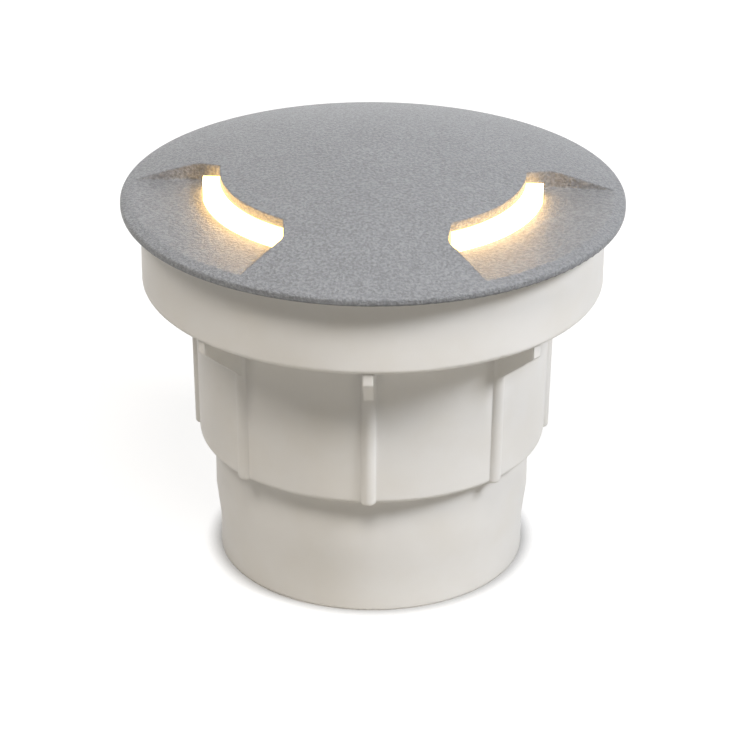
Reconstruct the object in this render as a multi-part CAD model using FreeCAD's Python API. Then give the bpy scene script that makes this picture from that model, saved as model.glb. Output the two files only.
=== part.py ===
"""In-ground well light: a stepped resin sleeve, an aimable domed cover with two light windows and a
twist-lock disc lamp.

Millimetres, +Z up. The origin is the centre of the sleeve's bottom edge, on the plane that it stands on.
The front is -Y: the two windows look forward and outward, to the left and to the right.
"""

import FreeCAD, Part
import math
import os

from FreeCAD import Vector

# Sleeve: three tiers, each wider than the one below it.
SPIGOT_RADIUS = 38.4          # the lowest tier, which plugs into a 75 mm pipe
SPIGOT_LEAD_STEP = 1.1        # its lead-in at the bottom edge is narrower by this
SPIGOT_LEAD_HEIGHT = 8.0
SPIGOT_TAPER_HEIGHT = 9.0
SPIGOT_HEIGHT = 31.5
BODY_STEP = 3.7               # how far the middle tier's foot stands out from the lowest tier
BODY_DRAFT = 0.8
BODY_HEIGHT = 40.0
COLLAR_HEIGHT = 18.2          # the top tier, straight so that it seats in a hole
SLEEVE_WALL = 2.6
TIER_EDGE_ROUNDING = 1.2

# Ribs and gussets on the sleeve, on the same eight lines.
RIB_COUNT = 8
RIB_START_AZIMUTH = -91.0
RIB_WIDTH = 3.5
RIB_HEIGHT = 1.2
RIB_END_ROUNDING = 0.7
GUSSET_THICKNESS = 2.5
GUSSET_SETBACK = 0.7          # the gusset's end, inside the collar's side
GUSSET_HEIGHT = 12.3          # under the collar, on the rib
GUSSET_EDGE = 3.0             # under the collar, at the gusset's end

# Posts for the lamp holder and the pad for the terminal block, moulded on the sleeve's floor.
POST_RADIUS = 4.2
POST_SETBACK = 7.0            # a post's centre, inside the holder's outer side
PAD_HEIGHT = 3.0

# Cover: a shallow dome on a flat rim, with a skirt that plugs into the sleeve's collar.
COVER_RADIUS = 60.0
RIM_OVERHANG = 4.7            # the rim past the sleeve's collar
RIM_THICKNESS = 1.8
RIM_ROUNDING = 0.6
DOME_RISE = 10.0
COVER_WALL = 2.2
SKIRT_DEPTH = 10.0
SKIRT_WALL = 4.0
SEAT_WIDTH = 6.8              # the ring inside the skirt that the diffuser is pressed against
GASKET_RECESS_DEPTH = 0.3     # the rim gasket lies in this step of the rim's underside

# Windows: two recesses cut through the dome, down to a flat floor.
COVER_AZIMUTH = -92.5         # the cover is turned a little from the front, and so are its fasteners
WINDOW_SPREAD = 61.0          # each window's middle, to either side of the cover's own front
WINDOW_HALF_ANGLE = 29.0
WINDOW_FLOOR_RISE = 2.7       # the recess floor above the rim's underside
LENS_SEAT_MARGIN = 1.1        # the lens's outer side, inside the diffuser's seat
LENS_LIP_REACH = 4.1          # how far the lens stands out from under the dome's lip
LENS_LIP_GAP = 0.45           # between the lens's top and the underside of the lip
LENS_WIDTH = 7.4
LENS_WALL = 2.2
RECESS_CORNER_SHIFT = (-0.6, 4.9)   # the recess's corner from the lens's, along and across the window's axis
RECESS_FLARE_ANGLE = 24.0
RECESS_ROUNDING = 4.0

# Seals
RIM_GASKET_THICKNESS = 1.1
RIM_GASKET_PROUD = 0.6
ORING_SECTION = 2.6
ORING_HEIGHT = 4.4            # from the skirt's lower edge to the ring's centre line
DIFFUSER_SEAL_THICKNESS = 0.8

# Diffuser and the ring that holds it
DIFFUSER_THICKNESS = 2.4
RETAINER_THICKNESS = 2.0
FASTENER_COUNT = 3
RETAINER_SCREW_LENGTH = 9.0

# Spring clips
CLIP_WIDTH = 8.0
CLIP_THICKNESS = 0.5
CLIP_TAB_REACH = 1.0          # how far the tab runs in past the retainer
CLIP_FLOOR_GAP = 1.0          # from the leaf's tip to the floor of the sleeve's collar
CLIP_TIP_HEIGHT = 2.0         # from the tip up to where the leaf presses on the collar
CLIP_BOW_HEIGHT = 3.4         # from there up to where the leaf turns outward
CLIP_TIP_RETURN = 1.6

# Lamp: a twist-lock disc with two pins 53 mm apart
LAMP_SIDE_GAP = 2.0
LAMP_BASE_HEIGHT = 16.5
LAMP_FOOT_ROUNDING = 1.5
LAMP_WALL = 2.6
LAMP_BOSS_DEPTH = 7.0
LAMP_BOSS_ROUNDING = 0.8
LAMP_LENS_HEIGHT = 6.0
LAMP_LENS_WALL = 1.6
LAMP_LENS_SETBACK = 0.5
LAMP_LENS_ROUNDING = 4.0
PIN_AZIMUTHS = (90.0, 270.0)
PIN_CIRCLE_RADIUS = 26.5
PIN_NECK_RADIUS = 1.75
PIN_HEAD_RADIUS = 2.6
PIN_HEAD_HEIGHT = 2.2
PIN_TUBE_GAP = 1.1            # from a pin's head to the holder's inner tube
LAMP_TWIST = 20.0
BOARD_THICKNESS = 1.2
CHIP_SIZE = 3.0
CHIP_HEIGHT = 0.8
CHIP_COUNTS = (12, 6)
CHIP_CIRCLE_RADII = (24.0, 12.0)
CAPACITOR_RADIUS = 4.0
CAPACITOR_HEIGHT = 9.0
CHOKE_WIDTH = 9.0
CHOKE_HEIGHT = 7.0
DRIVER_PART_OFFSET = 6.5

# Lamp holder
HOLDER_SETBACK = 1.0          # its side, inside the lamp's
HOLDER_HEIGHT = 11.9
HOLDER_PLATE = 3.0
HOLDER_WALL = 2.5
HOLDER_ROUNDING = 1.0
HOLDER_SCREW_GRIP = 9.0       # how deep the screws go into the posts
CONTACT_WIDTH = 6.0
CONTACT_THICKNESS = 0.6

# Cable gland, size M16
GLAND_THREAD_RADIUS = 8.0
GLAND_ACROSS_FLATS = 20.0
GLAND_FLANGE_HEIGHT = 5.0
GLAND_NECK_DEPTH = 9.0
GLAND_STUB_HEIGHT = 6.5
GLAND_WASHER_THICKNESS = 1.0
GLAND_WASHER_RADIUS = 12.0
GLAND_NUT_GAP = 1.0           # between the flange and the dome nut, when tight
LOCK_NUT_ACROSS_FLATS = 22.0
LOCK_NUT_HEIGHT = 4.5
DOME_NUT_HEIGHT = 12.0
DOME_NUT_HEX_HEIGHT = 7.0
DOME_NUT_ROUNDING = 4.0
DOME_NUT_LIP = 1.5            # the dome nut's end, below the seal
CABLE_RADIUS = 3.6
CABLE_MARGIN = 1.2            # the gland's ways round the cable
SEAL_RADIUS = 6.2
SEAL_LENGTH = 12.0

# Terminal block
TERMINAL_SIZE = (26.0, 13.0, 8.8)
TERMINAL_ROUNDING = 1.0
TERMINAL_Y = 23.5
TERMINAL_POLE_PITCH = 8.2
TERMINAL_WAY_RADIUS = 2.3
TERMINAL_WAY_HEIGHT = 3.4     # from the block's foot to the middle of its wire ways
CLAMP_SETBACK = 1.5
CLAMP_WALL = 0.8

# Screws: shank radius, head radius, head height
SELF_TAPPER = (1.3, 2.3, 1.7)
SMALL_SCREW = (1.1, 1.9, 1.2)
SCREW_SLOT = (0.6, 0.5)       # width and depth

# Clearances
PART_GAP = 0.2                # between pieces that are fixed to each other
MOVING_GAP = 0.3              # between pieces that move past each other
SEAT_GAP = 0.1                # above and below the rim gasket
SKIRT_GAP = 0.4               # between the cover's skirt and the collar's bore
OVERSHOOT = 1.0               # how far a cutting shape runs past what it cuts

# Radii worked out from the sizes above
BODY_RADIUS = SPIGOT_RADIUS + BODY_STEP
BODY_BORE_RADIUS = BODY_RADIUS - SLEEVE_WALL
COLLAR_RADIUS = COVER_RADIUS - RIM_OVERHANG
COLLAR_BORE_RADIUS = COLLAR_RADIUS - SLEEVE_WALL
SKIRT_RADIUS = COLLAR_BORE_RADIUS - SKIRT_GAP
SKIRT_BORE_RADIUS = SKIRT_RADIUS - SKIRT_WALL
SEAT_INNER_RADIUS = SKIRT_BORE_RADIUS - SEAT_WIDTH
FASTENER_RADIUS = (SEAT_INNER_RADIUS + SKIRT_BORE_RADIUS) / 2
DIFFUSER_RADIUS = SKIRT_BORE_RADIUS - PART_GAP
LENS_RADIUS = SEAT_INNER_RADIUS - LENS_SEAT_MARGIN
WINDOW_LIP_RADIUS = LENS_RADIUS - LENS_LIP_REACH
RIM_GASKET_RADIUS = COLLAR_RADIUS + RIM_GASKET_PROUD
DOME_BALL_RADIUS = (COVER_RADIUS ** 2 + DOME_RISE ** 2) / (2 * DOME_RISE)
LAMP_RADIUS = BODY_BORE_RADIUS - LAMP_SIDE_GAP
LAMP_BOSS_RADIUS = PIN_CIRCLE_RADIUS - PIN_HEAD_RADIUS - PIN_TUBE_GAP - HOLDER_WALL - MOVING_GAP
HOLDER_RADIUS = LAMP_RADIUS - HOLDER_SETBACK
POST_OFFSET = HOLDER_RADIUS - POST_SETBACK

# Directions of what is on the cover
WINDOW_AZIMUTHS = (COVER_AZIMUTH + WINDOW_SPREAD, COVER_AZIMUTH - WINDOW_SPREAD)
FASTENER_AZIMUTHS = [COVER_AZIMUTH + 360 * i / FASTENER_COUNT for i in range(FASTENER_COUNT)]

# Levels of the sleeve and the cover, from the bottom up
BODY_FOOT_Z = SPIGOT_HEIGHT
FLOOR_Z = BODY_FOOT_Z + SLEEVE_WALL
COLLAR_FOOT_Z = BODY_FOOT_Z + BODY_HEIGHT
COLLAR_FLOOR_Z = COLLAR_FOOT_Z + SLEEVE_WALL
SLEEVE_TOP_Z = COLLAR_FOOT_Z + COLLAR_HEIGHT
RIM_GASKET_Z = SLEEVE_TOP_Z + SEAT_GAP
GASKET_RECESS_Z = RIM_GASKET_Z + RIM_GASKET_THICKNESS + SEAT_GAP
COVER_UNDERSIDE_Z = GASKET_RECESS_Z - GASKET_RECESS_DEPTH
WINDOW_FLOOR_Z = COVER_UNDERSIDE_Z + WINDOW_FLOOR_RISE
DOME_TOP_Z = COVER_UNDERSIDE_Z + RIM_THICKNESS + DOME_RISE
DOME_CENTRE_Z = DOME_TOP_Z - DOME_BALL_RADIUS
LIP_UNDERSIDE_Z = DOME_CENTRE_Z + math.sqrt((DOME_BALL_RADIUS - COVER_WALL) ** 2 - WINDOW_LIP_RADIUS ** 2)
LENS_TOP_Z = LIP_UNDERSIDE_Z - LENS_LIP_GAP

# Levels of what hangs in the cover and of the lamp under it, from the top down
SKIRT_FOOT_Z = COVER_UNDERSIDE_Z - SKIRT_DEPTH
DIFFUSER_TOP_Z = COVER_UNDERSIDE_Z - DIFFUSER_SEAL_THICKNESS
DIFFUSER_FOOT_Z = DIFFUSER_TOP_Z - DIFFUSER_THICKNESS
RETAINER_FOOT_Z = DIFFUSER_FOOT_Z - RETAINER_THICKNESS
CLIP_TAB_Z = RETAINER_FOOT_Z - CLIP_THICKNESS
LAMP_TOP_Z = CLIP_TAB_Z - SELF_TAPPER[2] - MOVING_GAP
LAMP_RIM_Z = LAMP_TOP_Z - LAMP_LENS_HEIGHT
LAMP_FOOT_Z = LAMP_RIM_Z - LAMP_BASE_HEIGHT
BOARD_Z = LAMP_RIM_Z - LAMP_WALL
DRIVER_Z = LAMP_FOOT_Z - LAMP_BOSS_DEPTH + 2 * LAMP_WALL
HOLDER_TOP_Z = LAMP_FOOT_Z - MOVING_GAP
HOLDER_PLATE_Z = HOLDER_TOP_Z - HOLDER_PLATE
PIN_HEAD_TOP_Z = HOLDER_PLATE_Z - MOVING_GAP
PIN_FOOT_Z = PIN_HEAD_TOP_Z - PIN_HEAD_HEIGHT
POST_TOP_Z = HOLDER_TOP_Z - HOLDER_HEIGHT

# Levels of the gland and the terminal block
GLAND_FLANGE_TOP_Z = BODY_FOOT_Z - GLAND_WASHER_THICKNESS
GLAND_FLANGE_FOOT_Z = GLAND_FLANGE_TOP_Z - GLAND_FLANGE_HEIGHT
GLAND_NECK_FOOT_Z = GLAND_FLANGE_FOOT_Z - GLAND_NECK_DEPTH
DOME_NUT_TOP_Z = GLAND_FLANGE_FOOT_Z - GLAND_NUT_GAP
DOME_NUT_FOOT_Z = DOME_NUT_TOP_Z - DOME_NUT_HEIGHT
SEAL_FOOT_Z = DOME_NUT_FOOT_Z + DOME_NUT_LIP
TERMINAL_FOOT_Z = FLOOR_Z + PAD_HEIGHT
TERMINAL_TOP_Z = TERMINAL_FOOT_Z + TERMINAL_SIZE[2]
TERMINAL_WAY_Z = TERMINAL_FOOT_Z + TERMINAL_WAY_HEIGHT

AXIS = Vector(0, 0, 1)
ORIGIN = Vector(0, 0, 0)


def polar(radius, azimuth, z=0.0):
    angle = math.radians(azimuth)
    return Vector(radius * math.cos(angle), radius * math.sin(angle), z)


def rounded_face(corners, upright=True):
    """A face through corners (x, z) or (x, z, rounding); where it isn't upright, through (x, y)."""
    points = [Vector(c[0], 0, c[1]) if upright else Vector(c[0], c[1], 0) for c in corners]
    stretches = []
    for i, corner in enumerate(corners):
        point = points[i]
        if len(corner) < 3:
            stretches.append((point, None, point))
            continue
        back = (points[i - 1] - point).normalize()
        forth = (points[(i + 1) % len(points)] - point).normalize()
        half = back.getAngle(forth) / 2
        reach = corner[2] / math.tan(half)
        sag = corner[2] / math.sin(half) - corner[2]
        middle = point + (back + forth).normalize() * sag
        stretches.append((point + back * reach, middle, point + forth * reach))
    edges = []
    for i, (start, middle, end) in enumerate(stretches):
        if middle is not None:
            edges.append(Part.Arc(start, middle, end).toShape())
        following = stretches[(i + 1) % len(stretches)][0]
        if end.distanceToPoint(following) > 1e-6:
            edges.append(Part.makeLine(end, following))
    return Part.Face(Part.Wire(edges))


def turned(corners, angle=360.0):
    """The solid that the outline (radius, z) sweeps about the light's axis."""
    return rounded_face(corners).revolve(ORIGIN, AXIS, angle)


def cylinder(radius, low, high, x=0.0, y=0.0):
    return Part.makeCylinder(radius, high - low, Vector(x, y, low))


def ring(inner, outer, low, high):
    return turned([(inner, low), (outer, low), (outer, high), (inner, high)])


def spun(shape, azimuth):
    copy = shape.copy()
    copy.rotate(ORIGIN, AXIS, azimuth)
    return copy


def sector(inner, outer, low, high, half_angle):
    """A curved block about the +X direction."""
    block = turned([(inner, low), (outer, low), (outer, high), (inner, high)], 2 * half_angle)
    return spun(block, -half_angle)


def plate(corners, thickness):
    """An upright plate in the plane y = 0, outlined by (radius, z) and centred on that plane."""
    slab = rounded_face(corners).extrude(Vector(0, thickness, 0))
    slab.translate(Vector(0, -thickness / 2, 0))
    return slab


def hexagon(across_flats, low, high):
    corners = [polar(across_flats / math.sqrt(3), 60 * i, low) for i in range(7)]
    return Part.Face(Part.makePolygon(corners)).extrude(Vector(0, 0, high - low))


def joined(shapes):
    return shapes[0].fuse(shapes[1:]).removeSplitter()


def screw(size, length, position, up=False):
    """A pan-head screw with a slot. Its head seats at position, and its shank runs down, or up."""
    shank_radius, head_radius, head_height = size
    head = turned([(0, 0), (head_radius, 0), (head_radius, head_height, head_height / 2), (0, head_height)])
    slot_width, slot_depth = SCREW_SLOT
    slot = Part.makeBox(2 * head_radius, slot_width, head_height,
                        Vector(-head_radius, -slot_width / 2, head_height - slot_depth))
    shape = joined([head, cylinder(shank_radius, -length, 0)]).cut(slot)
    if up:
        shape.rotate(ORIGIN, Vector(1, 0, 0), 180)
    shape.translate(position)
    return shape


# Sleeve

def sleeve_shell():
    lead_radius = SPIGOT_RADIUS - SPIGOT_LEAD_STEP
    return turned([
        (lead_radius - SLEEVE_WALL, 0),
        (lead_radius, 0),
        (lead_radius, SPIGOT_LEAD_HEIGHT),
        (SPIGOT_RADIUS, SPIGOT_LEAD_HEIGHT + SPIGOT_TAPER_HEIGHT),
        (SPIGOT_RADIUS, BODY_FOOT_Z),
        (BODY_RADIUS, BODY_FOOT_Z, TIER_EDGE_ROUNDING),
        (BODY_RADIUS + BODY_DRAFT, COLLAR_FOOT_Z),
        (COLLAR_RADIUS, COLLAR_FOOT_Z, TIER_EDGE_ROUNDING),
        (COLLAR_RADIUS, SLEEVE_TOP_Z),
        (COLLAR_BORE_RADIUS, SLEEVE_TOP_Z),
        (COLLAR_BORE_RADIUS, COLLAR_FLOOR_Z),
        (BODY_BORE_RADIUS + BODY_DRAFT, COLLAR_FLOOR_Z),
        (BODY_BORE_RADIUS, FLOOR_Z),
        (0, FLOOR_Z),
        (0, BODY_FOOT_Z),
        (lead_radius - SLEEVE_WALL, BODY_FOOT_Z),
    ])


def sleeve_rib():
    """A shallow round ridge up the middle tier, leaning with its draft."""
    curve_radius = (RIB_WIDTH ** 2 / 4 + RIB_HEIGHT ** 2) / (2 * RIB_HEIGHT)
    foot = Vector(BODY_RADIUS + RIB_HEIGHT - curve_radius, 0, BODY_FOOT_Z)
    ridge = Part.makeCylinder(curve_radius, BODY_HEIGHT, foot, Vector(BODY_DRAFT, 0, BODY_HEIGHT))
    ridge = ridge.makeFillet(RIB_END_ROUNDING, [min(ridge.Edges, key=lambda edge: edge.BoundBox.ZMax)])
    return ridge.cut(cylinder(BODY_RADIUS - SLEEVE_WALL / 2, BODY_FOOT_Z - OVERSHOOT, SLEEVE_TOP_Z))


def gusset():
    """A web from the rib to the collar's edge."""
    inner = BODY_RADIUS - SLEEVE_WALL / 2
    top = COLLAR_FOOT_Z + SLEEVE_WALL / 2
    end = COLLAR_RADIUS - GUSSET_SETBACK
    foot = COLLAR_FOOT_Z - GUSSET_HEIGHT
    return plate([
        (inner, top),
        (end - TIER_EDGE_ROUNDING, top),
        (end, COLLAR_FOOT_Z),
        (end, COLLAR_FOOT_Z - GUSSET_EDGE),
        (BODY_RADIUS + RIB_HEIGHT, foot),
        (inner, foot),
    ], GUSSET_THICKNESS)


def terminal_pad():
    length, width, _ = TERMINAL_SIZE
    return Part.makeBox(length, width, PAD_HEIGHT + SLEEVE_WALL / 2,
                        Vector(-length / 2, TERMINAL_Y - width / 2, FLOOR_Z - SLEEVE_WALL / 2))


def mounting_sleeve():
    pieces = [sleeve_shell(), terminal_pad()]
    for i in range(RIB_COUNT):
        azimuth = RIB_START_AZIMUTH + 360 * i / RIB_COUNT
        pieces += [spun(sleeve_rib(), azimuth), spun(gusset(), azimuth)]
    pieces += [cylinder(POST_RADIUS, FLOOR_Z - SLEEVE_WALL / 2, POST_TOP_Z, x) for x in post_places()]
    body = joined(pieces)
    holes = [cylinder(GLAND_THREAD_RADIUS + PART_GAP, 0, FLOOR_Z + PAD_HEIGHT)]
    pilot_foot = POST_TOP_Z - HOLDER_SCREW_GRIP - PART_GAP
    holes += [cylinder(SELF_TAPPER[0] + PART_GAP, pilot_foot, POST_TOP_Z, x) for x in post_places()]
    holes += [cylinder(SMALL_SCREW[0] + PART_GAP, FLOOR_Z, TERMINAL_FOOT_Z, x, TERMINAL_Y)
              for x in fixing_places()]
    return body.cut(holes)


def post_places():
    return (-POST_OFFSET, POST_OFFSET)


def fixing_places():
    return (-TERMINAL_POLE_PITCH / 2, TERMINAL_POLE_PITCH / 2)


# Cable gland

def gland_body():
    flange = hexagon(GLAND_ACROSS_FLATS, GLAND_FLANGE_FOOT_Z, GLAND_FLANGE_TOP_Z)
    neck = cylinder(GLAND_THREAD_RADIUS, GLAND_NECK_FOOT_Z, FLOOR_Z + GLAND_STUB_HEIGHT)
    seat = cylinder(SEAL_RADIUS + PART_GAP, GLAND_NECK_FOOT_Z, SEAL_FOOT_Z + SEAL_LENGTH + PART_GAP)
    way = cylinder(CABLE_RADIUS + CABLE_MARGIN, GLAND_NECK_FOOT_Z, FLOOR_Z + GLAND_STUB_HEIGHT)
    return joined([flange, neck]).cut([seat, way])


def gland_washer():
    return ring(GLAND_THREAD_RADIUS + PART_GAP, GLAND_WASHER_RADIUS, GLAND_FLANGE_TOP_Z, BODY_FOOT_Z)


def gland_lock_nut():
    nut = hexagon(LOCK_NUT_ACROSS_FLATS, FLOOR_Z, FLOOR_Z + LOCK_NUT_HEIGHT)
    return nut.cut(cylinder(GLAND_THREAD_RADIUS + PART_GAP, FLOOR_Z, FLOOR_Z + LOCK_NUT_HEIGHT))


def gland_seal():
    return ring(CABLE_RADIUS, SEAL_RADIUS, SEAL_FOOT_Z, SEAL_FOOT_Z + SEAL_LENGTH)


def gland_dome_nut():
    hex_foot = DOME_NUT_TOP_Z - DOME_NUT_HEX_HEIGHT
    dome_radius, dome_top = GLAND_ACROSS_FLATS / 2, hex_foot + OVERSHOOT
    dome = turned([(0, DOME_NUT_FOOT_Z), (dome_radius, DOME_NUT_FOOT_Z, DOME_NUT_ROUNDING),
                   (dome_radius, dome_top), (0, dome_top)])
    thread = cylinder(GLAND_THREAD_RADIUS + PART_GAP, GLAND_NECK_FOOT_Z - PART_GAP, DOME_NUT_TOP_Z)
    seat = cylinder(SEAL_RADIUS + PART_GAP, SEAL_FOOT_Z, DOME_NUT_TOP_Z)
    mouth = cylinder(CABLE_RADIUS + CABLE_MARGIN, DOME_NUT_FOOT_Z, DOME_NUT_TOP_Z)
    nut = joined([dome, hexagon(GLAND_ACROSS_FLATS, hex_foot, DOME_NUT_TOP_Z)])
    return nut.cut([thread, seat, mouth])


# Terminal block

def pole_places():
    return (-TERMINAL_POLE_PITCH, 0.0, TERMINAL_POLE_PITCH)


def clamp_screw_places():
    side = TERMINAL_SIZE[1] / 4
    return [(x, TERMINAL_Y + y) for x in pole_places() for y in (-side, side)]


def terminal_rod(radius, margin=0.0):
    """Rods along Y, one for each pole: the wire ways of the block and the clamps that lie in them."""
    width = TERMINAL_SIZE[1]
    start = TERMINAL_Y - width / 2 + margin
    return [Part.makeCylinder(radius, width - 2 * margin, Vector(x, start, TERMINAL_WAY_Z), Vector(0, 1, 0))
            for x in pole_places()]


def terminal_block():
    length, width, height = TERMINAL_SIZE
    block = rounded_face([(x * length / 2, TERMINAL_Y + y * width / 2, TERMINAL_ROUNDING)
                          for x, y in ((-1, -1), (1, -1), (1, 1), (-1, 1))], upright=False)
    block = block.extrude(Vector(0, 0, height))
    block.translate(Vector(0, 0, TERMINAL_FOOT_Z))
    holes = terminal_rod(TERMINAL_WAY_RADIUS)
    holes += [cylinder(SMALL_SCREW[1] + PART_GAP, TERMINAL_WAY_Z, TERMINAL_TOP_Z, x, y)
              for x, y in clamp_screw_places()]
    holes += [cylinder(SMALL_SCREW[0] + PART_GAP, TERMINAL_FOOT_Z, TERMINAL_TOP_Z, x, TERMINAL_Y)
              for x in fixing_places()]
    return block.cut(holes)


def terminal_clamps():
    outer = terminal_rod(TERMINAL_WAY_RADIUS - PART_GAP / 2, CLAMP_SETBACK)
    inner = terminal_rod(TERMINAL_WAY_RADIUS - CLAMP_WALL)
    ways = [cylinder(SMALL_SCREW[0] + PART_GAP / 2, TERMINAL_WAY_Z, TERMINAL_TOP_Z, x, y)
            for x, y in clamp_screw_places()]
    return Part.makeCompound([rod.cut(inner + ways) for rod in outer])


def terminal_clamp_screws():
    seat = TERMINAL_WAY_Z + TERMINAL_WAY_RADIUS + PART_GAP / 2
    return Part.makeCompound([screw(SMALL_SCREW, TERMINAL_WAY_RADIUS, Vector(x, y, seat))
                              for x, y in clamp_screw_places()])


def terminal_fixing_screws():
    length = TERMINAL_SIZE[2] + PAD_HEIGHT - PART_GAP
    return Part.makeCompound([screw(SMALL_SCREW, length, Vector(x, TERMINAL_Y, TERMINAL_TOP_Z))
                              for x in fixing_places()])


# Lamp holder

def keyhole():
    """The slot for one lamp pin, about +X: a round entry, then a narrower way to the locked place."""
    low, high = HOLDER_PLATE_Z, HOLDER_TOP_Z
    slot_half = PIN_NECK_RADIUS + MOVING_GAP
    entry_at = polar(PIN_CIRCLE_RADIUS, LAMP_TWIST)
    way = turned([(PIN_CIRCLE_RADIUS - slot_half, low), (PIN_CIRCLE_RADIUS + slot_half, low),
                  (PIN_CIRCLE_RADIUS + slot_half, high), (PIN_CIRCLE_RADIUS - slot_half, high)], LAMP_TWIST)
    return joined([
        way,
        cylinder(slot_half, low, high, PIN_CIRCLE_RADIUS),
        cylinder(PIN_HEAD_RADIUS + MOVING_GAP, low, high, entry_at.x, entry_at.y),
    ])


def lamp_holder():
    bore = LAMP_BOSS_RADIUS + MOVING_GAP
    tube_foot = POST_TOP_Z + HOLDER_PLATE
    cup = turned([
        (bore, tube_foot),
        (bore, HOLDER_TOP_Z),
        (HOLDER_RADIUS, HOLDER_TOP_Z, HOLDER_ROUNDING),
        (HOLDER_RADIUS, POST_TOP_Z),
        (HOLDER_RADIUS - HOLDER_WALL, POST_TOP_Z),
        (HOLDER_RADIUS - HOLDER_WALL, HOLDER_PLATE_Z),
        (bore + HOLDER_WALL, HOLDER_PLATE_Z),
        (bore + HOLDER_WALL, tube_foot),
    ])
    columns = [cylinder(POST_RADIUS, POST_TOP_Z, HOLDER_TOP_Z - HOLDER_PLATE / 2, x) for x in post_places()]
    shank, head, head_height = SELF_TAPPER
    holes = [spun(keyhole(), azimuth) for azimuth in PIN_AZIMUTHS]
    for x in post_places():
        holes.append(cylinder(shank + PART_GAP, POST_TOP_Z, HOLDER_TOP_Z, x))
        holes.append(cylinder(head + PART_GAP, HOLDER_TOP_Z - head_height - PART_GAP, HOLDER_TOP_Z, x))
    return joined([cup] + columns).cut(holes)


def holder_screws():
    seat = HOLDER_TOP_Z - SELF_TAPPER[2] - PART_GAP
    length = seat - POST_TOP_Z + HOLDER_SCREW_GRIP
    return Part.makeCompound([screw(SELF_TAPPER, length, Vector(x, 0, seat)) for x in post_places()])


def holder_contact(azimuth):
    """A sprung strip under a keyhole: its foot lies against the holder's plate, its leaf below the pin."""
    leaf_top = PIN_FOOT_Z - MOVING_GAP
    root = HOLDER_RADIUS - HOLDER_WALL - PART_GAP
    inner = LAMP_BOSS_RADIUS + HOLDER_WALL + 2 * MOVING_GAP
    strip = plate([
        (inner, leaf_top - CONTACT_THICKNESS),
        (root, leaf_top - CONTACT_THICKNESS),
        (root, HOLDER_PLATE_Z),
        (root - CONTACT_THICKNESS, HOLDER_PLATE_Z),
        (root - CONTACT_THICKNESS, leaf_top),
        (inner, leaf_top),
    ], CONTACT_WIDTH)
    return spun(strip, azimuth)


# Lamp

def lamp_base():
    boss_foot = LAMP_FOOT_Z - LAMP_BOSS_DEPTH
    boss_bore = LAMP_BOSS_RADIUS - LAMP_WALL
    rim_bore = LAMP_RADIUS - LAMP_WALL
    return turned([
        (0, boss_foot),
        (LAMP_BOSS_RADIUS, boss_foot, LAMP_BOSS_ROUNDING),
        (LAMP_BOSS_RADIUS, LAMP_FOOT_Z),
        (LAMP_RADIUS, LAMP_FOOT_Z, LAMP_FOOT_ROUNDING),
        (LAMP_RADIUS, LAMP_RIM_Z),
        (rim_bore, LAMP_RIM_Z),
        (rim_bore, BOARD_Z),
        (rim_bore - LAMP_WALL, BOARD_Z),
        (rim_bore - LAMP_WALL, LAMP_FOOT_Z + LAMP_WALL),
        (boss_bore, LAMP_FOOT_Z + LAMP_WALL),
        (boss_bore, DRIVER_Z),
        (boss_bore - LAMP_WALL, DRIVER_Z),
        (boss_bore - LAMP_WALL, boss_foot + LAMP_WALL),
        (0, boss_foot + LAMP_WALL),
    ])


def lamp_pins():
    places = [polar(PIN_CIRCLE_RADIUS, azimuth) for azimuth in PIN_AZIMUTHS]
    return Part.makeCompound([
        joined([cylinder(PIN_NECK_RADIUS, PIN_FOOT_Z, LAMP_FOOT_Z, p.x, p.y),
                cylinder(PIN_HEAD_RADIUS, PIN_FOOT_Z, PIN_HEAD_TOP_Z, p.x, p.y)])
        for p in places
    ])


def lamp_led_board():
    return cylinder(LAMP_RADIUS - LAMP_WALL - PART_GAP, BOARD_Z, BOARD_Z + BOARD_THICKNESS)


def lamp_led_chips():
    low = BOARD_Z + BOARD_THICKNESS
    half = CHIP_SIZE / 2
    chip = Part.makeBox(CHIP_SIZE, CHIP_SIZE, CHIP_HEIGHT, Vector(-half, -half, low))
    chips = []
    for count, radius in zip(CHIP_COUNTS, CHIP_CIRCLE_RADII):
        for i in range(count):
            placed = chip.copy()
            placed.translate(Vector(radius, 0, 0))
            chips.append(spun(placed, 360 * i / count))
    return Part.makeCompound(chips)


def lamp_driver_board():
    return cylinder(LAMP_BOSS_RADIUS - LAMP_WALL - PART_GAP, DRIVER_Z, DRIVER_Z + BOARD_THICKNESS)


def lamp_driver_parts():
    top = DRIVER_Z + BOARD_THICKNESS
    half = CHOKE_WIDTH / 2
    capacitor = cylinder(CAPACITOR_RADIUS, top, top + CAPACITOR_HEIGHT, -DRIVER_PART_OFFSET)
    choke = Part.makeBox(CHOKE_WIDTH, CHOKE_WIDTH, CHOKE_HEIGHT,
                         Vector(DRIVER_PART_OFFSET - half, -half, top))
    return Part.makeCompound([capacitor, choke])


def lamp_lens():
    """The opal cap, with a spigot inside the base's rim."""
    outer = LAMP_RADIUS - LAMP_LENS_SETBACK
    spigot = LAMP_RADIUS - LAMP_WALL - PART_GAP
    inner = spigot - LAMP_LENS_WALL
    ceiling = LAMP_TOP_Z - LAMP_LENS_WALL
    foot = BOARD_Z + BOARD_THICKNESS + PART_GAP
    return turned([
        (spigot, foot),
        (spigot, LAMP_RIM_Z),
        (outer, LAMP_RIM_Z),
        (outer, LAMP_TOP_Z, LAMP_LENS_ROUNDING),
        (0, LAMP_TOP_Z),
        (0, ceiling),
        (inner, ceiling, LAMP_LENS_ROUNDING - LAMP_LENS_WALL),
        (inner, foot),
    ])


# Cover

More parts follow.
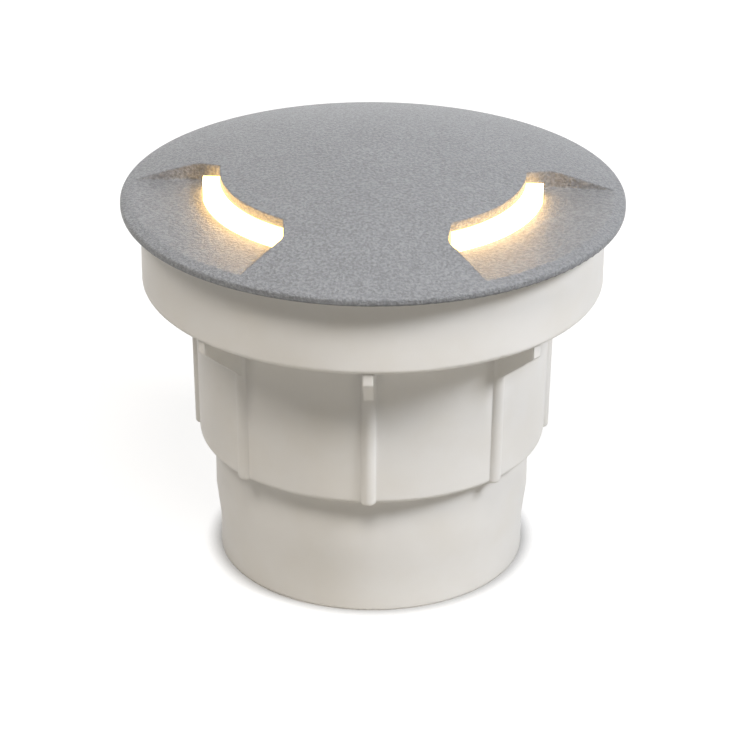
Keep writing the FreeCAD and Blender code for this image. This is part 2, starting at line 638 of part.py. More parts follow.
def ball_cap(ball_radius, trim_radius, low):
    """The part of the dome's ball above a level and inside a radius. All these balls share a centre."""
    ball = Part.makeSphere(ball_radius, Vector(0, 0, DOME_CENTRE_Z))
    return ball.common(cylinder(trim_radius, low, DOME_TOP_Z + OVERSHOOT))


def rim_edges(shape):
    """The two circles that bound the rim's upright side."""
    return [edge for edge in shape.Edges
            if edge.BoundBox.XMax > COVER_RADIUS - 0.01 and edge.BoundBox.ZLength < 0.01]


def cover_blank():
    cap = ball_cap(DOME_BALL_RADIUS, COVER_RADIUS, COVER_UNDERSIDE_Z)
    cap = cap.makeFillet(RIM_ROUNDING, rim_edges(cap))
    hollow = ball_cap(DOME_BALL_RADIUS - COVER_WALL, SEAT_INNER_RADIUS, COVER_UNDERSIDE_Z - OVERSHOOT)
    recess = ring(SKIRT_RADIUS, RIM_GASKET_RADIUS + PART_GAP, COVER_UNDERSIDE_Z - OVERSHOOT, GASKET_RECESS_Z)
    skirt = ring(SKIRT_BORE_RADIUS, SKIRT_RADIUS, SKIRT_FOOT_Z, COVER_UNDERSIDE_Z)
    groove_z = SKIRT_FOOT_Z + ORING_HEIGHT
    groove_half = ORING_SECTION / 2 + PART_GAP
    groove = ring(oring_radius() - groove_half, COVER_RADIUS, groove_z - groove_half, groove_z + groove_half)
    return joined([cap.cut([hollow, recess]), skirt.cut(groove)])


def oring_radius():
    """The ring's centre line: pressed flat enough to lie just inside the collar's bore."""
    return COLLAR_BORE_RADIUS - MOVING_GAP - ORING_SECTION / 2


def recess_face(grow):
    """A window's recess in plan, about +X. The inner side is an arc about the light's axis."""
    inner = WINDOW_LIP_RADIUS - grow
    end, lens_corner = polar(inner, WINDOW_HALF_ANGLE), polar(LENS_RADIUS, WINDOW_HALF_ANGLE)
    along = lens_corner.x + RECESS_CORNER_SHIFT[0] - grow
    across = lens_corner.y + RECESS_CORNER_SHIFT[1] + grow
    mouth_along = COVER_RADIUS + OVERSHOOT
    mouth_across = across + (mouth_along - along) * math.tan(math.radians(RECESS_FLARE_ANGLE))
    outline = rounded_face([
        (end.x, end.y),
        (along, across, RECESS_ROUNDING),
        (mouth_along, mouth_across),
        (mouth_along, -mouth_across),
        (along, -across, RECESS_ROUNDING),
        (end.x, -end.y),
    ], upright=False)
    return outline.cut(Part.Face(Part.Wire(Part.makeCircle(inner))))


def recess_prism(grow, low):
    prism = recess_face(grow).extrude(Vector(0, 0, DOME_TOP_Z + OVERSHOOT - low))
    prism.translate(Vector(0, 0, low))
    return prism


def top_cover():
    cover = cover_blank()
    inside = ball_cap(DOME_BALL_RADIUS, SKIRT_RADIUS, COVER_UNDERSIDE_Z)
    low = COVER_UNDERSIDE_Z - OVERSHOOT
    lens_way = sector(WINDOW_LIP_RADIUS - LENS_WIDTH, LENS_RADIUS + PART_GAP, low, DOME_TOP_Z,
                      WINDOW_HALF_ANGLE + math.degrees(PART_GAP / LENS_RADIUS))
    under_lip = lens_way.common(ball_cap(DOME_BALL_RADIUS - COVER_WALL, COVER_RADIUS, low))
    for azimuth in WINDOW_AZIMUTHS:
        casing = spun(recess_prism(COVER_WALL, COVER_UNDERSIDE_Z), azimuth).common(inside)
        cover = cover.fuse(casing).cut(spun(recess_prism(0, WINDOW_FLOOR_Z), azimuth))
        cover = cover.cut(spun(under_lip, azimuth))
    tip_z = CLIP_TAB_Z + RETAINER_SCREW_LENGTH
    return cover.cut(screw_ways(COVER_UNDERSIDE_Z, tip_z + PART_GAP)).removeSplitter()


def fastener_places():
    return [polar(FASTENER_RADIUS, azimuth) for azimuth in FASTENER_AZIMUTHS]


def screw_ways(low, high):
    return [cylinder(SELF_TAPPER[0] + PART_GAP, low, high, p.x, p.y) for p in fastener_places()]


def cover_oring():
    return Part.makeTorus(oring_radius(), ORING_SECTION / 2, Vector(0, 0, SKIRT_FOOT_Z + ORING_HEIGHT))


def diffuser_seal():
    seal = ring(SEAT_INNER_RADIUS, DIFFUSER_RADIUS, DIFFUSER_TOP_Z, COVER_UNDERSIDE_Z)
    return seal.cut(screw_ways(DIFFUSER_TOP_Z, COVER_UNDERSIDE_Z))


def window_diffuser():
    """A flat opal disc with a hollow curved lens standing up into each window."""
    inner = LENS_RADIUS - LENS_WIDTH
    hollow_angle = WINDOW_HALF_ANGLE - math.degrees(LENS_WALL / LENS_RADIUS)
    lens = sector(inner, LENS_RADIUS, DIFFUSER_FOOT_Z, LENS_TOP_Z, WINDOW_HALF_ANGLE)
    hollow = sector(inner + LENS_WALL, LENS_RADIUS - LENS_WALL, DIFFUSER_FOOT_Z, LENS_TOP_Z - LENS_WALL,
                    hollow_angle)
    disc = cylinder(DIFFUSER_RADIUS, DIFFUSER_FOOT_Z, DIFFUSER_TOP_Z)
    body = joined([disc] + [spun(lens, azimuth) for azimuth in WINDOW_AZIMUTHS])
    holes = [spun(hollow, azimuth) for azimuth in WINDOW_AZIMUTHS]
    return body.cut(holes + screw_ways(DIFFUSER_FOOT_Z, DIFFUSER_TOP_Z))


def diffuser_retainer():
    band = ring(SEAT_INNER_RADIUS, DIFFUSER_RADIUS, RETAINER_FOOT_Z, DIFFUSER_FOOT_Z)
    return band.cut(screw_ways(RETAINER_FOOT_Z, DIFFUSER_FOOT_Z))


def retainer_screws():
    return Part.makeCompound([
        screw(SELF_TAPPER, RETAINER_SCREW_LENGTH, Vector(p.x, p.y, CLIP_TAB_Z), up=True)
        for p in fastener_places()
    ])


def leaf_face(points):
    """An upright strip of the clip's thickness that follows points (radius, z), with mitred bends."""
    left, right = [], []
    for i, (x, z) in enumerate(points):
        before = points[max(i - 1, 0)]
        after = points[min(i + 1, len(points) - 1)]
        into = Vector(x - before[0], 0, z - before[1])
        out = Vector(after[0] - x, 0, after[1] - z)
        into = into.normalize() if into.Length else out.normalize()
        out = out.normalize() if out.Length else into
        normal = Vector(-into.z - out.z, 0, into.x + out.x).normalize()
        reach = CLIP_THICKNESS / 2 / normal.dot(Vector(-into.z, 0, into.x))
        left.append((x + normal.x * reach, z + normal.z * reach))
        right.append((x - normal.x * reach, z - normal.z * reach))
    return rounded_face(left + right[::-1])


def spring_clip(azimuth):
    """A steel leaf screwed up against the retainer: it turns down inside the skirt, then bows out."""
    tab_z = CLIP_TAB_Z + CLIP_THICKNESS / 2
    knee_radius = SKIRT_BORE_RADIUS - PART_GAP - CLIP_THICKNESS
    bow_radius = COLLAR_BORE_RADIUS - MOVING_GAP - CLIP_THICKNESS
    tip_z = COLLAR_FLOOR_Z + CLIP_FLOOR_GAP
    bow_z = tip_z + CLIP_TIP_HEIGHT
    face = leaf_face([
        (SEAT_INNER_RADIUS - CLIP_TAB_REACH, tab_z),
        (knee_radius, tab_z),
        (knee_radius, bow_z + CLIP_BOW_HEIGHT),
        (bow_radius, bow_z),
        (bow_radius - CLIP_TIP_RETURN, tip_z),
    ])
    leaf = face.extrude(Vector(0, CLIP_WIDTH, 0))
    leaf.translate(Vector(0, -CLIP_WIDTH / 2, 0))
    hole = cylinder(SELF_TAPPER[0] + PART_GAP, CLIP_TAB_Z, RETAINER_FOOT_Z, FASTENER_RADIUS)
    return spun(leaf.cut(hole), azimuth)


def rim_gasket():
    inner = COLLAR_BORE_RADIUS + PART_GAP
    return ring(inner, RIM_GASKET_RADIUS, RIM_GASKET_Z, RIM_GASKET_Z + RIM_GASKET_THICKNESS)


NODES = {
    "mounting_sleeve": mounting_sleeve,
    "gland_body": gland_body,
    "gland_washer": gland_washer,
    "gland_lock_nut": gland_lock_nut,
    "gland_seal": gland_seal,
    "gland_dome_nut": gland_dome_nut,
    "terminal_block": terminal_block,
    "terminal_clamps": terminal_clamps,
    "terminal_clamp_screws": terminal_clamp_screws,
    "terminal_fixing_screws": terminal_fixing_screws,
    "lamp_holder": lamp_holder,
    "holder_screws": holder_screws,
    "holder_contact_front": lambda: holder_contact(270),
    "holder_contact_back": lambda: holder_contact(90),
    "lamp_base": lamp_base,
    "lamp_pins": lamp_pins,
    "lamp_driver_board": lamp_driver_board,
    "lamp_driver_parts": lamp_driver_parts,
    "lamp_led_board": lamp_led_board,
    "lamp_led_chips": lamp_led_chips,
    "lamp_lens": lamp_lens,
    "rim_gasket": rim_gasket,
    "top_cover": top_cover,
    "cover_oring": cover_oring,
    "diffuser_seal": diffuser_seal,
    "window_diffuser": window_diffuser,
    "diffuser_retainer": diffuser_retainer,
    "retainer_screws": retainer_screws,
}
for number, clip_azimuth in enumerate(FASTENER_AZIMUTHS, 1):
    NODES[f"spring_clip_{number}"] = lambda azimuth=clip_azimuth: spring_clip(azimuth)

os.makedirs("parts", exist_ok=True)
for node, make in NODES.items():
    shape = make()
    shape.exportStep(f"parts/{node}.step")
    box = shape.BoundBox
    print(f"{node:24s} valid {shape.isValid()} solids {len(shape.Solids)} volume {shape.Volume:9.1f} "
          f"x {box.XMin:.1f} {box.XMax:.1f} y {box.YMin:.1f} {box.YMax:.1f} z {box.ZMin:.1f} {box.ZMax:.1f}")
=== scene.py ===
# In-ground well light: the finishes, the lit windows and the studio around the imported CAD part.
# Metres, +Z up, the front is -Y.
import bpy
import math
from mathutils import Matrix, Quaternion, Vector

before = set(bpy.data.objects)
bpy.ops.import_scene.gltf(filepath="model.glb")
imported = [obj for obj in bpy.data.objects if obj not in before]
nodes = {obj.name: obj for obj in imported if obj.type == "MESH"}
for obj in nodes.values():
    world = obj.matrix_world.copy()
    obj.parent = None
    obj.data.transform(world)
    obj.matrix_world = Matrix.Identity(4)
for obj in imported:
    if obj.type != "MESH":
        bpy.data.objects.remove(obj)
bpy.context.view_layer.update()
mm = 0.001
white = (1.0, 1.0, 1.0, 1.0)
edgeSamples = 6                # rays that find where an edge is rounded off
patternLow = 0.3               # nearly all of a noise pattern lies between these two levels
patternHigh = 0.7


def deselectAll():
    for thing in bpy.context.selected_objects:
        thing.select_set(False)


def linear(hexColour):
    # an sRGB hex value as the linear colour that a shader socket takes
    parts = [int(hexColour[i:i + 2], 16) / 255 for i in (1, 3, 5)]
    return [c / 12.92 if c <= 0.04045 else ((c + 0.055) / 1.055) ** 2.4 for c in parts] + [1.0]


def addNode(tree, kind, settings=None, **links):
    # settings are inputs by name or place, a ramp's stops, or else the node's own properties
    node = tree.nodes.new(kind)
    for key, value in (settings or {}).items():
        if key == "stops":
            points = node.color_ramp.elements
            for i, (position, hexColour) in enumerate(value):
                point = points[i] if i < len(points) else points.new(position)
                point.position = position
                point.color = linear(hexColour)
        elif isinstance(key, int) or key in node.inputs:
            node.inputs[key].default_value = value
        else:
            setattr(node, key, value)
    # a link says which output feeds the input of that name, or of that place where it is i0, i1 and so on
    for key, socket in links.items():
        name = int(key[1:]) if key[0] == "i" and key[1:].isdigit() else key.replace("_", " ")
        tree.links.new(socket, node.inputs[name])
    return node


def newMaterial(name):
    material = bpy.data.materials.new(name)
    material.use_nodes = True
    tree = material.node_tree
    tree.nodes.clear()
    output = tree.nodes.new("ShaderNodeOutputMaterial")
    place = tree.nodes.new("ShaderNodeTexCoord").outputs["Object"]
    return material, tree, output, place


def dress(material, *names):
    # a CAD node keeps its mesh and takes the material in all its slots
    for name in names:
        slots = nodes[name].material_slots
        if not slots:
            nodes[name].data.materials.append(material)
        for slot in slots:
            slot.material = material


print("frame loaded:", len(nodes), "nodes")

# the sleeve: one thick-walled moulding in glass-filled polyamide
sleeveLook = {
    "tones": [(0.35, "#e6e5e2"), (0.6, "#e9e9e8")],    # where the melt flowed thin it is a touch warmer
    "flowSize": 16 * mm,
    "flowDetail": 3.0,
    "grainSize": 0.4 * mm,     # the mould's real grain of a tenth of a millimetre wouldn't show
    "grainDepth": 0.03 * mm,
    "grainStrength": 0.5,
    "sinkSize": 7 * mm,        # sink marks over the ribs and the floor
    "sinkDetail": 1.0,
    "sinkDepth": 0.05 * mm,
    "sinkStrength": 0.6,
    "edge": 0.8 * mm,          # the mould's edges are broken
    "smoothest": 0.42,
    "roughest": 0.54,
    "ior": 1.5,
    "spigotInside": 36.8 * mm,     # the lowest tier's outer wall lies between these radii and heights
    "spigotOutside": 39.0 * mm,
    "spigotFoot": 0.8 * mm,
    "spigotTop": 31.2 * mm,
    "taperFrom": 2.0 * mm,         # its taper runs out softly above and below
    "taperMiddle": 12.5 * mm,
    "taperTo": 24.0 * mm,
    "taperSlope": 0.06,
}


def spigotNormal(tree, place, look, normal):
    # the lowest tier's taper blends into the straight wall above and below it, so no edge catches the light
    axes = addNode(tree, "ShaderNodeSeparateXYZ", None, Vector=place).outputs
    outward = addNode(tree, "ShaderNodeCombineXYZ", None, X=axes["X"], Y=axes["Y"])
    radius = addNode(tree, "ShaderNodeVectorMath", {"operation": "LENGTH"},
                     i0=outward.outputs[0]).outputs["Value"]
    rising = addNode(tree, "ShaderNodeMapRange",
                     {"interpolation_type": "SMOOTHSTEP", "From Min": look["taperFrom"],
                      "From Max": look["taperMiddle"]}, Value=axes["Z"])
    falling = addNode(tree, "ShaderNodeMapRange",
                      {"interpolation_type": "SMOOTHSTEP", "From Min": look["taperTo"],
                       "From Max": look["taperMiddle"]}, Value=axes["Z"])
    slope = addNode(tree, "ShaderNodeMath", {"operation": "MULTIPLY"},
                    i0=rising.outputs[0], i1=falling.outputs[0])
    lean = addNode(tree, "ShaderNodeMath", {"operation": "MULTIPLY", 1: -look["taperSlope"]},
                   i0=slope.outputs[0])
    drop = addNode(tree, "ShaderNodeMath", {"operation": "MULTIPLY"}, i0=lean.outputs[0], i1=radius)
    soft = addNode(tree, "ShaderNodeCombineXYZ", None, X=axes["X"], Y=axes["Y"], Z=drop.outputs[0])
    unit = addNode(tree, "ShaderNodeVectorMath", {"operation": "NORMALIZE"}, i0=soft.outputs[0])
    wall = None
    for operation, value, limit in (("GREATER_THAN", radius, "spigotInside"),
                                    ("LESS_THAN", radius, "spigotOutside"),
                                    ("GREATER_THAN", axes["Z"], "spigotFoot"),
                                    ("LESS_THAN", axes["Z"], "spigotTop")):
        test = addNode(tree, "ShaderNodeMath", {"operation": operation, 1: look[limit]}, i0=value).outputs[0]
        wall = test if wall is None else addNode(tree, "ShaderNodeMath", {"operation": "MULTIPLY"},
                                                 i0=wall, i1=test).outputs[0]
    # a Mix node's vectors are its inputs 4 and 5, and their mixture its output 1
    return addNode(tree, "ShaderNodeMix", {"data_type": "VECTOR"},
                   i0=wall, i4=normal, i5=unit.outputs[0]).outputs[1]


def mouldedResin(name, look):
    # polyamide from a spark-eroded mould: a satin skin, soft sink marks and an even grain
    material, tree, output, place = newMaterial(name)
    flow = addNode(tree, "ShaderNodeTexNoise", {"Scale": 1 / look["flowSize"], "Detail": look["flowDetail"]},
                   Vector=place).outputs["Fac"]
    grain = addNode(tree, "ShaderNodeTexNoise", {"Scale": 1 / look["grainSize"]}, Vector=place).outputs["Fac"]
    sink = addNode(tree, "ShaderNodeTexNoise", {"Scale": 1 / look["sinkSize"], "Detail": look["sinkDetail"]},
                   Vector=place).outputs["Fac"]
    colour = addNode(tree, "ShaderNodeValToRGB", {"stops": look["tones"]}, Fac=flow)
    roughness = addNode(tree, "ShaderNodeMapRange",
                        {"From Min": patternLow, "From Max": patternHigh,
                         "To Min": look["smoothest"], "To Max": look["roughest"]}, Value=flow)
    edge = addNode(tree, "ShaderNodeBevel", {"samples": edgeSamples, "Radius": look["edge"]})
    sunk = addNode(tree, "ShaderNodeBump", {"Strength": look["sinkStrength"], "Distance": look["sinkDepth"]},
                   Height=sink, Normal=spigotNormal(tree, place, look, edge.outputs["Normal"]))
    grained = addNode(tree, "ShaderNodeBump",
                      {"Strength": look["grainStrength"], "Distance": look["grainDepth"]},
                      Height=grain, Normal=sunk.outputs["Normal"])
    shader = addNode(tree, "ShaderNodeBsdfPrincipled", {"IOR": look["ior"]},
                     Base_Color=colour.outputs["Color"], Roughness=roughness.outputs["Result"],
                     Normal=grained.outputs["Normal"])
    tree.links.new(shader.outputs[0], output.inputs["Surface"])
    return material


dress(mouldedResin("mouldedPolyamideOffWhite", sleeveLook), "mounting_sleeve")
print("sleeve dressed")

# the cover: die-cast aluminium under a textured powder coat
coverLook = {
    "tones": [(0.38, "#7a7c80"), (0.5, "#86898e"), (0.62, "#94979c")],     # painted shade and light: darker in the pebbles' valleys, lighter on their crests
    "pebbleSize": 0.7 * mm,
    "pebbleDetail": 3.0,
    "pebbleRoughness": 0.6,
    "pebbleDepth": 0.5 * mm,
    "fineSize": 0.3 * mm,
    "fineDepth": 0.12 * mm,
    "bumpStrength": 1.0,
    "patchSize": 12 * mm,      # the coat lies a little thicker here and there
    "patchLow": 0.35,
    "patchHigh": 0.65,
    "darkest": 0.97,
    "lightest": 1.02,
    "edge": 0.7 * mm,          # the coat rounds off the casting's edges
    "smoothest": 0.28,
    "roughest": 0.48,
    "ior": 1.5,
    "specular": 0.35,
}


def texturedCoat(name, look):
    # textured powder coat: a leathery skin of pebbles about a millimetre wide whose crests catch the lamps
    material, tree, output, place = newMaterial(name)
    pebbles = addNode(tree, "ShaderNodeTexNoise",
                      {"Scale": 1 / look["pebbleSize"], "Detail": look["pebbleDetail"],
                       "Roughness": look["pebbleRoughness"]}, Vector=place).outputs["Fac"]
    fine = addNode(tree, "ShaderNodeTexNoise", {"Scale": 1 / look["fineSize"]}, Vector=place).outputs["Fac"]
    patch = addNode(tree, "ShaderNodeTexNoise", {"Scale": 1 / look["patchSize"]}, Vector=place).outputs["Fac"]
    # painted shade and light: the grey follows the pebbles' height, darker in their valleys and lighter on
    # their crests
    paintedPebbleShade = addNode(tree, "ShaderNodeValToRGB", {"stops": look["tones"]}, Fac=pebbles)
    tone = addNode(tree, "ShaderNodeMapRange",
                   {"From Min": look["patchLow"], "From Max": look["patchHigh"],
                    "To Min": look["darkest"], "To Max": look["lightest"]}, Value=patch)
    colour = addNode(tree, "ShaderNodeHueSaturation", None,
                     Value=tone.outputs["Result"], Color=paintedPebbleShade.outputs["Color"])
    roughness = addNode(tree, "ShaderNodeMapRange",
                        {"From Min": patternLow, "From Max": patternHigh,
                         "To Min": look["smoothest"], "To Max": look["roughest"]}, Value=fine)
    edge = addNode(tree, "ShaderNodeBevel", {"samples": edgeSamples, "Radius": look["edge"]})
    coarse = addNode(tree, "ShaderNodeBump",
                     {"Strength": look["bumpStrength"], "Distance": look["pebbleDepth"]},
                     Height=pebbles, Normal=edge.outputs["Normal"])
    bump = addNode(tree, "ShaderNodeBump", {"Strength": look["bumpStrength"], "Distance": look["fineDepth"]},
                   Height=fine, Normal=coarse.outputs["Normal"])
    shader = addNode(tree, "ShaderNodeBsdfPrincipled",
                     {"IOR": look["ior"], "Specular IOR Level": look["specular"]},
                     Base_Color=colour.outputs["Color"], Roughness=roughness.outputs["Result"],
                     Normal=bump.outputs["Normal"])
    tree.links.new(shader.outputs[0], output.inputs["Surface"])
    return material


dress(texturedCoat("texturedPowderCoatGrey", coverLook), "top_cover")
print("cover dressed")

# the windows and the lamp behind them: opal polycarbonate, lit from inside
lightLook = {
    "opal": "#fbfaf6",
    "glow": [(0.3, "#ffc468"), (0.7, "#ffca76")],
    "cloudSize": 6 * mm,
    "cloudDetail": 1.0,
    "roughness": 0.35,
    "ior": 1.58,
    "window": 6.5,             # as bright as needed to throw the amber halo on the recess floor
    "discShare": 0.18,         # how bright the disc below the cover is, next to the windows
    "from": 91.0 * mm,         # height where the windows leave the disc
    "to": 93.0 * mm,
    "lampStrength": 1.6,
}


def litOpal(name, look, strength, discShare=None):
    # diffusing polycarbonate, lit from behind: it looks white, and its light falls amber on what is near
    material, tree, output, place = newMaterial(name)
    cloud = addNode(tree, "ShaderNodeTexNoise",
                    {"Scale": 1 / look["cloudSize"], "Detail": look["cloudDetail"]}, Vector=place)
    glow = addNode(tree, "ShaderNodeValToRGB", {"stops": look["glow"]},
                   Fac=cloud.outputs["Fac"]).outputs["Color"]
    if discShare:
        height = addNode(tree, "ShaderNodeSeparateXYZ", None, Vector=place).outputs["Z"]
        share = addNode(tree, "ShaderNodeMapRange",
                        {"From Min": look["from"], "From Max": look["to"],
                         "To Min": discShare, "To Max": 1.0}, Value=height).outputs["Result"]
        glow = addNode(tree, "ShaderNodeVectorMath", {"operation": "SCALE"},
                       i0=glow, Scale=share).outputs[0]
    shader = addNode(tree, "ShaderNodeBsdfPrincipled",
                     {"Base Color": linear(look["opal"]), "Roughness": look["roughness"],
                      "IOR": look["ior"], "Emission Strength": strength}, Emission_Color=glow)
    tree.links.new(shader.outputs[0], output.inputs["Surface"])
    return material


windowOpal = litOpal("litOpalPolycarbonate", lightLook, lightLook["window"], lightLook["discShare"])
lampOpal = litOpal("litLampPolycarbonate", lightLook, lightLook["lampStrength"])
dress(windowOpal, "window_diffuser")
dress(lampOpal, "lamp_lens")
print("windows and lamp lit")

# seals, lamp, holder, gland and terminals, which show from below and when the cover is lifted
plainLook = {
    "cloudSize": 5 * mm,
    "cloudDetail": 3.0,
    "cloudLow": 0.35,
    "cloudHigh": 0.65,
    "grainSize": 0.3 * mm,     # coarser than the real grain, which wouldn't show
    "grainDepth": 0.02 * mm,
    "grainStrength": 0.4,
    "smoother": 0.06,          # how far the grain takes the roughness down and up
    "rougher": 0.08,
}
# main colour, second colour, roughness, metallic
plainLooks = {
    "siliconeGasketPale": ("#dcdbd6", "#d2d1cb", 0.55, 0.0),            # soft and dull, off-white
    "rubberSealBlack": ("#26272a", "#1d1e20", 0.72, 0.0),               # matt, nearly without a highlight
    "mouldedPolyamideGrey": ("#8f9397", "#85898d", 0.5, 0.0),           # satin moulding
    "mouldedPolycarbonateWhite": ("#e9e9e6", "#dfdfdb", 0.38, 0.0),     # glossier moulding
    "mouldedPbtCream": ("#e4dfd2", "#dad4c6", 0.45, 0.0),               # satin, a warm white
    "steatiteWhite": ("#e6e3da", "#dcd8cd", 0.55, 0.0),                 # unglazed ceramic, dry and even
    "turnedBrass": ("#c9a24e", "#b48c3c", 0.28, 1.0),                   # bright yellow metal
    "zincPlatedSteel": ("#b9bcc0", "#a4a7ab", 0.32, 1.0),               # cool, slightly clouded metal
    "springSteel": ("#9c9ea2", "#8b8d91", 0.3, 1.0),                    # darker rolled metal
    "solderMaskWhite": ("#eceeec", "#e2e4e2", 0.35, 0.0),               # printed lacquer with a soft shine
    "phosphorYellow": ("#e8c84a", "#dcb93c", 0.4, 0.0),                 # silicone over yellow powder
    "circuitLaminateGreen": ("#2f6b46", "#295f3e", 0.4, 0.0),           # lacquered glass laminate
    "componentEpoxyBlack": ("#222326", "#191a1c", 0.45, 0.0),           # pressed epoxy, dull black
}


def plainFinish(name, look, main, second, roughness, metallic):
    # a clouded colour under a fine grain, for a small piece of a plain stock material
    material, tree, output, place = newMaterial(name)
    grain = addNode(tree, "ShaderNodeTexNoise", {"Scale": 1 / look["grainSize"]}, Vector=place).outputs["Fac"]
    cloud = addNode(tree, "ShaderNodeTexNoise",
                    {"Scale": 1 / look["cloudSize"], "Detail": look["cloudDetail"]}, Vector=place)
    colour = addNode(tree, "ShaderNodeValToRGB",
                     {"stops": [(look["cloudLow"], second), (look["cloudHigh"], main)]},
                     Fac=cloud.outputs["Fac"])
    rough = addNode(tree, "ShaderNodeMapRange",
                    {"From Min": patternLow, "From Max": patternHigh,
                     "To Min": roughness - look["smoother"],
                     "To Max": roughness + look["rougher"]}, Value=grain)
    bump = addNode(tree, "ShaderNodeBump",
                   {"Strength": look["grainStrength"], "Distance": look["grainDepth"]}, Height=grain)
    shader = addNode(tree, "ShaderNodeBsdfPrincipled", {"Metallic": metallic},
                     Base_Color=colour.outputs["Color"], Roughness=rough.outputs["Result"],
                     Normal=bump.outputs["Normal"])
    tree.links.new(shader.outputs[0], output.inputs["Surface"])
    return material


finishOf = {
    "siliconeGasketPale": ("rim_gasket", "diffuser_seal"),
    "rubberSealBlack": ("cover_oring", "gland_washer", "gland_seal"),
    "mouldedPolyamideGrey": ("gland_body", "gland_lock_nut", "gland_dome_nut"),
    "mouldedPolycarbonateWhite": ("lamp_base", "diffuser_retainer"),
    "mouldedPbtCream": ("terminal_block",),
    "steatiteWhite": ("lamp_holder",),
    "turnedBrass": ("terminal_clamps", "lamp_pins", "holder_contact_front", "holder_contact_back"),
    "zincPlatedSteel": ("terminal_clamp_screws", "terminal_fixing_screws", "holder_screws",
                        "retainer_screws"),
    "springSteel": ("spring_clip_1", "spring_clip_2", "spring_clip_3"),
    "solderMaskWhite": ("lamp_led_board",),
    "phosphorYellow": ("lamp_led_chips",),
    "circuitLaminateGreen": ("lamp_driver_board",),
    "componentEpoxyBlack": ("lamp_driver_parts",),
}
for finishName, dressed in finishOf.items():
    dress(plainFinish(finishName, plainLook, *plainLooks[finishName]), *dressed)
print("inner pieces dressed")

# a white paper floor under soft lamps: the strongest on the right, one above the front, weaker ones on the left
studio = {
    "floorSize": 6.0,
    "paper": "#aeaaa2",        # what the light meets
    "floorGlow": 0.8,          # the camera sees the paper this much lighter, so only the near shadow stays
    "floorShare": 0.3,
    "nearFloor": 0.35,         # past this radius the paper rises to white, where the lamps don't reach
    "farFloor": 0.8,
    "paintedShadowReach": 4.5 * mm,  # painted contact shadow: how far from the pot the floor is darkened
    "paintedShadowSamples": 8,
    "paintedShadowOpen": 0.5,        # a point in the corner is open to half of its surroundings
    "paintedShadowGlow": 0.15,
    "world": "#fff6ea",
    "worldStrength": 0.06,
    "lampDistance": 1.0,
    "lampAim": Vector((0, 0, 0.05)),
}
# degrees from the front towards the right and above the floor; glare says that the cover may mirror the lamp
lamps = {
    "keyLamp": {"turn": 65, "rise": 42, "size": 0.3, "power": 7.4, "colour": "#fbfcff", "glare": True},
    "frontLamp": {"turn": 0, "rise": 60, "size": 0.3, "power": 4.2, "colour": "#fff9f1", "glare": True},
    "fillLamp": {"turn": -50, "rise": 55, "size": 0.3, "power": 3.0, "colour": "#fff7ed", "glare": True},
    "sideLamp": {"turn": -110, "rise": 30, "size": 0.5, "power": 1.2, "colour": "#fff7ed", "glare": False},
    "backLamp": {"turn": 180, "rise": 12, "size": 0.5, "power": 3.0, "colour": "#ffffff", "glare": False},
}


def cameraSees(tree):
    # 1 where the camera looks straight, through glass or by a mirror, and 0 for light that reaches surfaces
    seen = tree.nodes.new("ShaderNodeLightPath").outputs
    either = addNode(tree, "ShaderNodeMath", {"operation": "MAXIMUM"},
                     i0=seen["Is Camera Ray"], i1=seen["Is Transmission Ray"])
    return addNode(tree, "ShaderNodeMath", {"operation": "MAXIMUM"},
                   i0=either.outputs[0], i1=seen["Is Glossy Ray"]).outputs[0]


def paperFloor(look):
    # pale paper: the camera sees it white apart from the soft shadow under the light and a painted contact
    # shadow where the pot meets the paper
    deselectAll()
    bpy.ops.mesh.primitive_plane_add(size=look["floorSize"], location=(0, 0, 0))
    floor = bpy.context.object
    floor.name = "paperFloor"
    material, tree, output, place = newMaterial("whitePaper")
    paper = addNode(tree, "ShaderNodeBsdfDiffuse", {"Color": linear(look["paper"])})
    # painted shadow: the ambient occlusion darkens the glow the camera sees, a dark line where the pot meets
    # the paper
    corner = addNode(tree, "ShaderNodeAmbientOcclusion",
                     {"samples": look["paintedShadowSamples"], "Distance": look["paintedShadowReach"]})
    near = addNode(tree, "ShaderNodeMapRange",
                   {"From Min": look["paintedShadowOpen"], "From Max": 1.0,
                    "To Min": look["paintedShadowGlow"], "To Max": look["floorGlow"]}, Value=corner.outputs["AO"])
    radius = addNode(tree, "ShaderNodeVectorMath", {"operation": "LENGTH"}, i0=place).outputs["Value"]
    far = addNode(tree, "ShaderNodeMapRange",
                  {"From Min": look["nearFloor"], "From Max": look["farFloor"],
                   "To Min": 0.0, "To Max": 1.0 - look["floorGlow"]}, Value=radius)
    strength = addNode(tree, "ShaderNodeMath", {"operation": "ADD"},
                       i0=near.outputs["Result"], i1=far.outputs["Result"]).outputs[0]
    glow = addNode(tree, "ShaderNodeEmission", {"Color": white}, Strength=strength)
    shade = addNode(tree, "ShaderNodeBsdfDiffuse", {"Color": [look["floorShare"]] * 3 + [1.0]})
    burnt = addNode(tree, "ShaderNodeAddShader", None, i0=shade.outputs[0], i1=glow.outputs[0])
    mix = addNode(tree, "ShaderNodeMixShader", None,
                  Fac=cameraSees(tree), i1=paper.outputs[0], i2=burnt.outputs[0])
    tree.links.new(mix.outputs[0], output.inputs["Surface"])
    floor.data.materials.append(material)


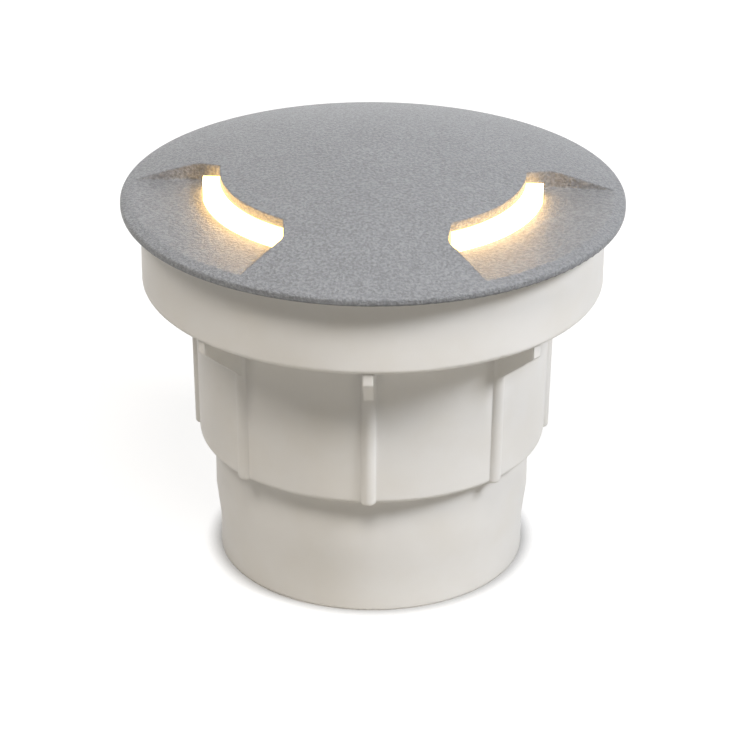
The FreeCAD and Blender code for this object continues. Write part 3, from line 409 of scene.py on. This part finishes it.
def studioWorld(look):
    # a faint warm light from all round, and white where the camera looks past the floor
    world = bpy.data.worlds.new("studioWorld")
    bpy.context.scene.world = world
    world.use_nodes = True
    tree = world.node_tree
    tree.nodes.clear()
    output = tree.nodes.new("ShaderNodeOutputWorld")
    soft = addNode(tree, "ShaderNodeBackground",
                   {"Color": linear(look["world"]), "Strength": look["worldStrength"]})
    bright = addNode(tree, "ShaderNodeBackground", {"Color": white, "Strength": 1.0})
    mix = addNode(tree, "ShaderNodeMixShader", None,
                  Fac=cameraSees(tree), i1=soft.outputs[0], i2=bright.outputs[0])
    tree.links.new(mix.outputs[0], output.inputs["Surface"])


def softLamp(name, lamp, look):
    data = bpy.data.lights.new(name, "AREA")
    data.shape = "DISK"
    data.size = lamp["size"]
    data.energy = lamp["power"]
    data.color = linear(lamp["colour"])[:3]
    box = bpy.data.objects.new(name, data)
    turn, rise = math.radians(lamp["turn"]), math.radians(lamp["rise"])
    towards = Vector((math.sin(turn) * math.cos(rise), -math.cos(turn) * math.cos(rise), math.sin(rise)))
    box.location = look["lampAim"] + towards * look["lampDistance"]
    box.rotation_mode = "QUATERNION"
    box.rotation_quaternion = towards.to_track_quat("Z", "Y")
    box.visible_camera = False
    box.visible_glossy = lamp["glare"]
    bpy.context.scene.collection.objects.link(box)


paperFloor(studio)
studioWorld(studio)
for lampName, lampSetting in lamps.items():
    softLamp(lampName, lampSetting, studio)

cameraSetting = {
    "place": (-0.0005, -0.6910, 0.3852),
    "aim": (-0.0005, 0.0, 0.0459),
    "lens": 153.4,
    "sensor": 36.0,
    "nearest": 0.01,
    "furthest": 50.0,
    "roll": -0.3,              # degrees; the photo leans this much
}
cameraData = bpy.data.cameras.new("photoCamera")
cameraData.lens = cameraSetting["lens"]
cameraData.sensor_width = cameraSetting["sensor"]
cameraData.clip_start, cameraData.clip_end = cameraSetting["nearest"], cameraSetting["furthest"]
camera = bpy.data.objects.new("photoCamera", cameraData)
camera.location = cameraSetting["place"]
camera.rotation_mode = "QUATERNION"
sight = (Vector(cameraSetting["aim"]) - Vector(cameraSetting["place"])).normalized()
aimed = sight.to_track_quat("-Z", "Y")
aimed.rotate(Quaternion(sight, math.radians(cameraSetting["roll"])))
camera.rotation_quaternion = aimed
bpy.context.scene.collection.objects.link(camera)
bpy.context.scene.camera = camera
bpy.context.scene.view_settings.view_transform = "Standard"
print("studio ready")
